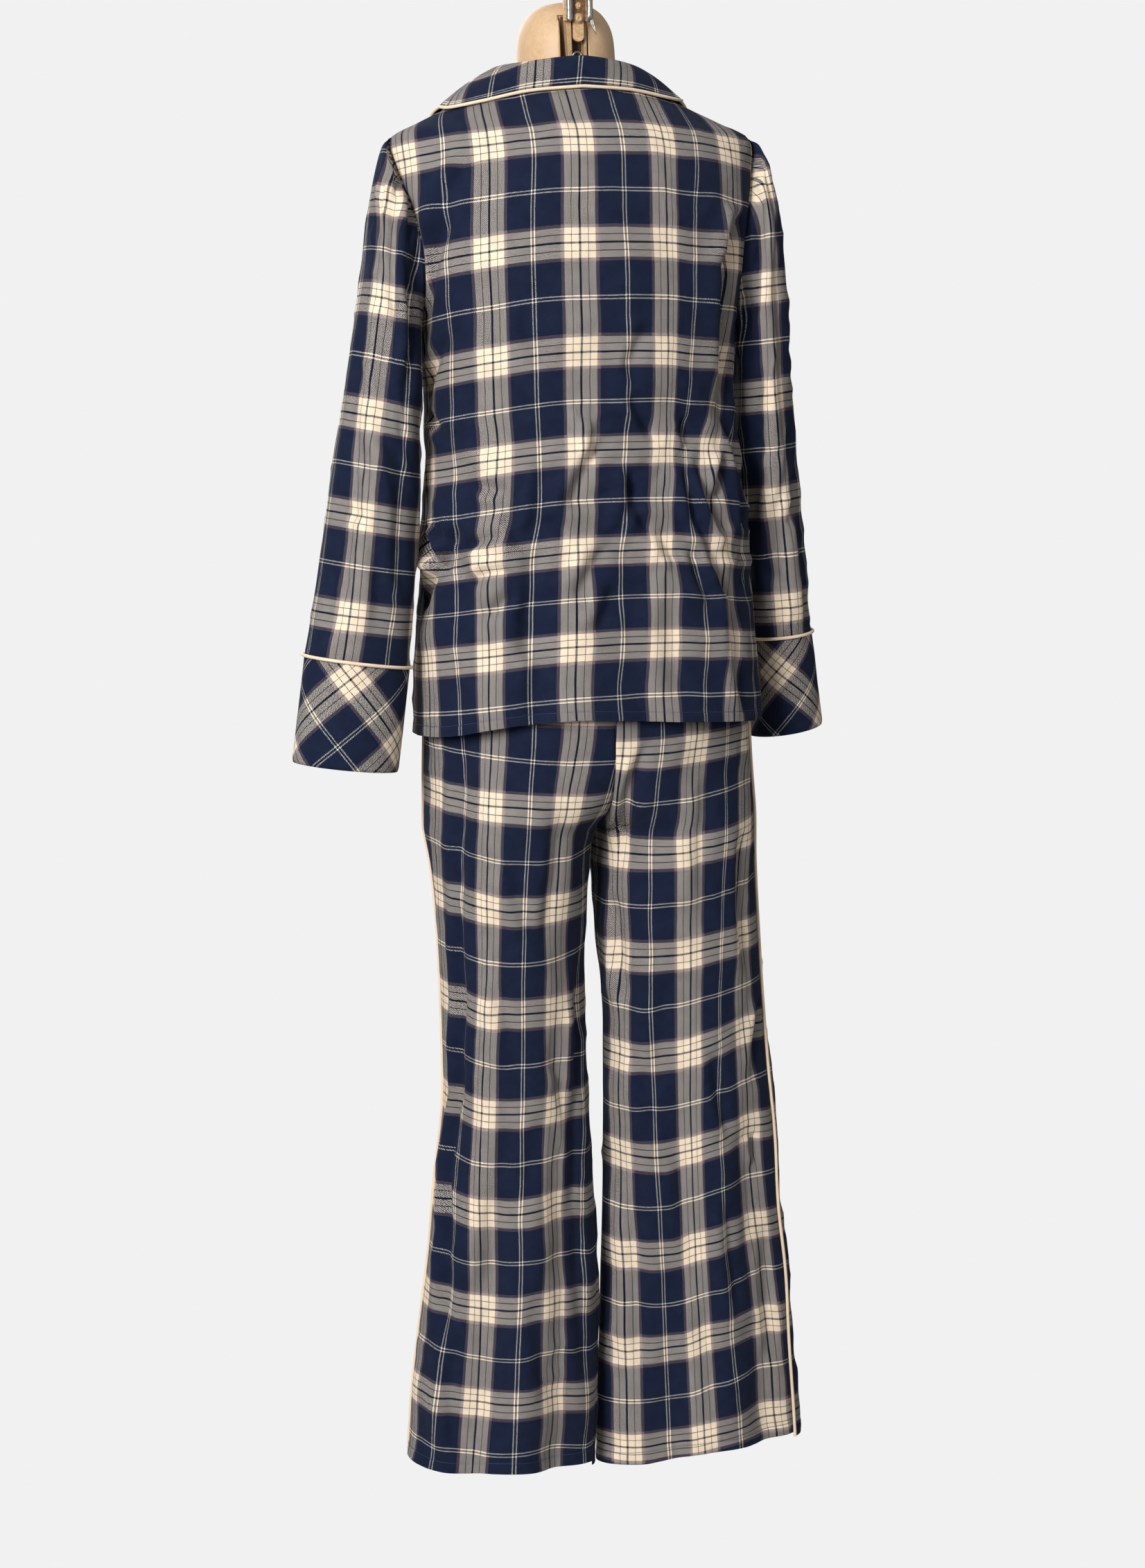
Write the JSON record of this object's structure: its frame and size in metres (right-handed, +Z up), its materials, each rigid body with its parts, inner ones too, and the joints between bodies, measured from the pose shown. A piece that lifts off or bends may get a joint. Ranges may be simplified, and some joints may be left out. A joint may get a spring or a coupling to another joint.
{
  "type": "women's pyjama set, jacket and trousers, on a limbless hanging dress form",
  "caption": "Checked flannel pyjama jacket with notched collar and piped cuffs, and wide trousers with piped side seams, hanging filled out on a limbless dress form.",
  "frame": {"origin": "the top of the inside of the hanging strap's eye, where the hook that holds the dress form carries it", "axes": "+Z up, +X to the wearer's left, +Y to the wearer's back"},
  "size_m": [0.591, 0.2676, 1.6231],
  "materials": {
    "flannel": "brushed cotton flannel in a navy, cream and grey twill check with white double lines, matt with a soft nap",
    "piping": "cream cotton piping with a slight satin sheen",
    "button": "cream resin, polished",
    "form": "tan painted shell, satin",
    "bracket": "steel painted tan, worn at its edges",
    "steel": "zinc plated steel, dulled"
  },
  "bodies": {
    "root": {"jacket_back": "flannel", "jacket_front_left": "flannel", "jacket_front_right": "flannel", "sleeve_left": "flannel", "sleeve_right": "flannel", "cuff_left": "flannel", "cuff_right": "flannel", "cuff_piping_left": "piping", "cuff_piping_right": "piping", "collar": "flannel", "collar_piping": "piping", "lapel_left": "flannel", "lapel_right": "flannel", "button_1": "button", "button_2": "button", "button_3": "button", "button_4": "button", "trouser_back_left": "flannel", "trouser_back_right": "flannel", "trouser_front_left": "flannel", "trouser_front_right": "flannel", "side_piping_left": "piping", "side_piping_right": "piping", "waistband": "flannel", "form_body": "form", "neck_bracket": "bracket", "hanger_strap": "bracket", "rod_left": "steel", "rod_right": "steel", "bolt_upper": "bracket", "bolt_lower": "bracket", "neck_ring": "steel"}
  },
  "joints": []
}
